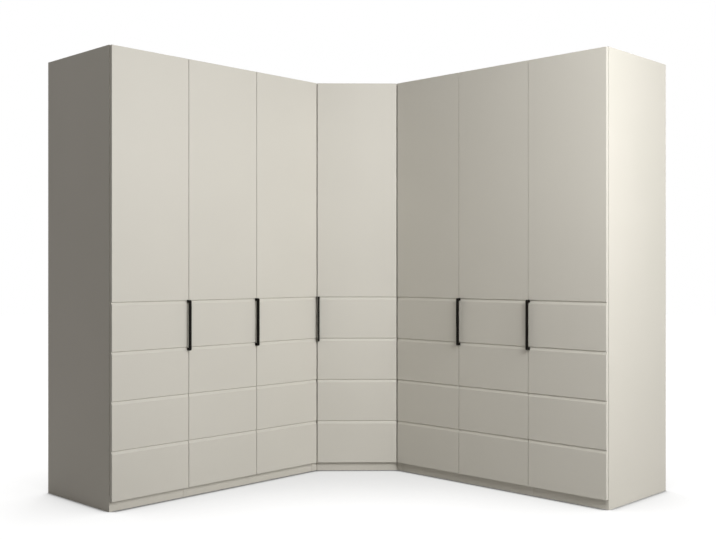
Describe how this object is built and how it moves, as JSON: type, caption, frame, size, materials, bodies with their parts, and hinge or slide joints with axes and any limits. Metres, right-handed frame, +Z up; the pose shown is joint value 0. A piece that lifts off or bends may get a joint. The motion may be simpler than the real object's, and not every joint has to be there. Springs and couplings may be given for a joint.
{
  "type": "corner wardrobe",
  "caption": "Tall L-shaped fitted corner wardrobe with grooved flat doors, a diagonal corner door, slim black bow handles and hanging rails and shelves inside.",
  "frame": {"origin": "on the floor, at the middle of the square that the wardrobe fills in plan", "axes": "+Z up; the room's corner is at -X +Y; the left wing stands along the wall at -X and opens towards +X; the right wing stands along the wall at +Y and opens towards -Y"},
  "size_m": [2.2858, 2.2858, 2.24],
  "materials": {
    "front_lacquer": "MDF with warm light grey matt lacquer",
    "carcass_melamine": "chipboard with matt melamine in the fronts' colour",
    "back_board": "thin hardboard, lacquered inside",
    "handle_black": "matt black powder coat",
    "rail_steel": "plated oval steel tube"
  },
  "bodies": {
    "carcass": {"left_end_side_left": "carcass_melamine", "left_end_side_right": "carcass_melamine", "left_end_bottom": "carcass_melamine", "left_end_top": "carcass_melamine", "left_end_back": "back_board", "left_end_plinth": "carcass_melamine", "left_end_hat_shelf": "carcass_melamine", "left_end_rail": "rail_steel", "left_pair_side_left": "carcass_melamine", "left_pair_side_right": "carcass_melamine", "left_pair_bottom": "carcass_melamine", "left_pair_top": "carcass_melamine", "left_pair_back": "back_board", "left_pair_plinth": "carcass_melamine", "left_pair_hat_shelf": "carcass_melamine", "left_pair_rail": "rail_steel", "corner_side_left": "carcass_melamine", "corner_side_right": "carcass_melamine", "corner_post_left": "carcass_melamine", "corner_post_right": "carcass_melamine", "corner_bottom": "carcass_melamine", "corner_top": "carcass_melamine", "corner_hat_shelf": "carcass_melamine", "corner_rail": "rail_steel", "corner_back_left": "back_board", "corner_back_right": "back_board", "corner_plinth": "carcass_melamine", "right_pair_side_left": "carcass_melamine", "right_pair_side_right": "carcass_melamine", "right_pair_partition": "carcass_melamine", "right_pair_bottom": "carcass_melamine", "right_pair_top": "carcass_melamine", "right_pair_back": "back_board", "right_pair_plinth": "carcass_melamine", "right_pair_hat_shelf": "carcass_melamine", "right_pair_rail": "rail_steel", "right_pair_upper_shelf": "carcass_melamine", "right_pair_shelf_1": "carcass_melamine", "right_pair_shelf_2": "carcass_melamine", "right_pair_shelf_3": "carcass_melamine", "right_end_side_left": "carcass_melamine", "right_end_side_right": "carcass_melamine", "right_end_bottom": "carcass_melamine", "right_end_top": "carcass_melamine", "right_end_back": "back_board", "right_end_plinth": "carcass_melamine", "right_end_hat_shelf": "carcass_melamine", "right_end_rail": "rail_steel"},
    "left_end_leaf": {"left_end_door": "front_lacquer", "left_end_handle": "handle_black"},
    "left_pair_outer_leaf": {"left_pair_door_outer": "front_lacquer", "left_pair_handle": "handle_black"},
    "left_pair_inner_leaf": {"left_pair_door_inner": "front_lacquer"},
    "corner_leaf": {"corner_door": "front_lacquer", "corner_handle": "handle_black"},
    "right_pair_inner_leaf": {"right_pair_door_inner": "front_lacquer"},
    "right_pair_outer_leaf": {"right_pair_door_outer": "front_lacquer", "right_pair_handle": "handle_black"},
    "right_end_leaf": {"right_end_door": "front_lacquer", "right_end_handle": "handle_black"}
  },
  "joints": [
    {"name": "left_end_hinges", "type": "hinge", "parent": "carcass", "child": "left_end_leaf", "pos_m": [-0.53092, -1.13357, 1.1435], "axis": [0, 0, -1], "range_deg": [0, 95]},
    {"name": "left_pair_outer_hinges", "type": "hinge", "parent": "carcass", "child": "left_pair_outer_leaf", "pos_m": [-0.53092, -0.68358, 1.1435], "axis": [0, 0, -1], "range_deg": [0, 95]},
    {"name": "left_pair_inner_hinges", "type": "hinge", "parent": "carcass", "child": "left_pair_inner_leaf", "pos_m": [-0.53092, 0.19742, 1.1435], "axis": [0, 0, 1], "range_deg": [0, 85]},
    {"name": "corner_hinges", "type": "hinge", "parent": "carcass", "child": "corner_leaf", "pos_m": [-0.21258, 0.52361, 1.1435], "axis": [0, 0, 1], "range_deg": [0, 95]},
    {"name": "right_pair_inner_hinges", "type": "hinge", "parent": "carcass", "child": "right_pair_inner_leaf", "pos_m": [0.23358, 0.53092, 1.1435], "axis": [0, 0, 1], "range_deg": [0, 95]},
    {"name": "right_pair_outer_hinges", "type": "hinge", "parent": "carcass", "child": "right_pair_outer_leaf", "pos_m": [0.68358, 0.53092, 1.1435], "axis": [0, 0, 1], "range_deg": [0, 95]},
    {"name": "right_end_hinges", "type": "hinge", "parent": "carcass", "child": "right_end_leaf", "pos_m": [1.13357, 0.53092, 1.1435], "axis": [0, 0, 1], "range_deg": [0, 95]}
  ]
}
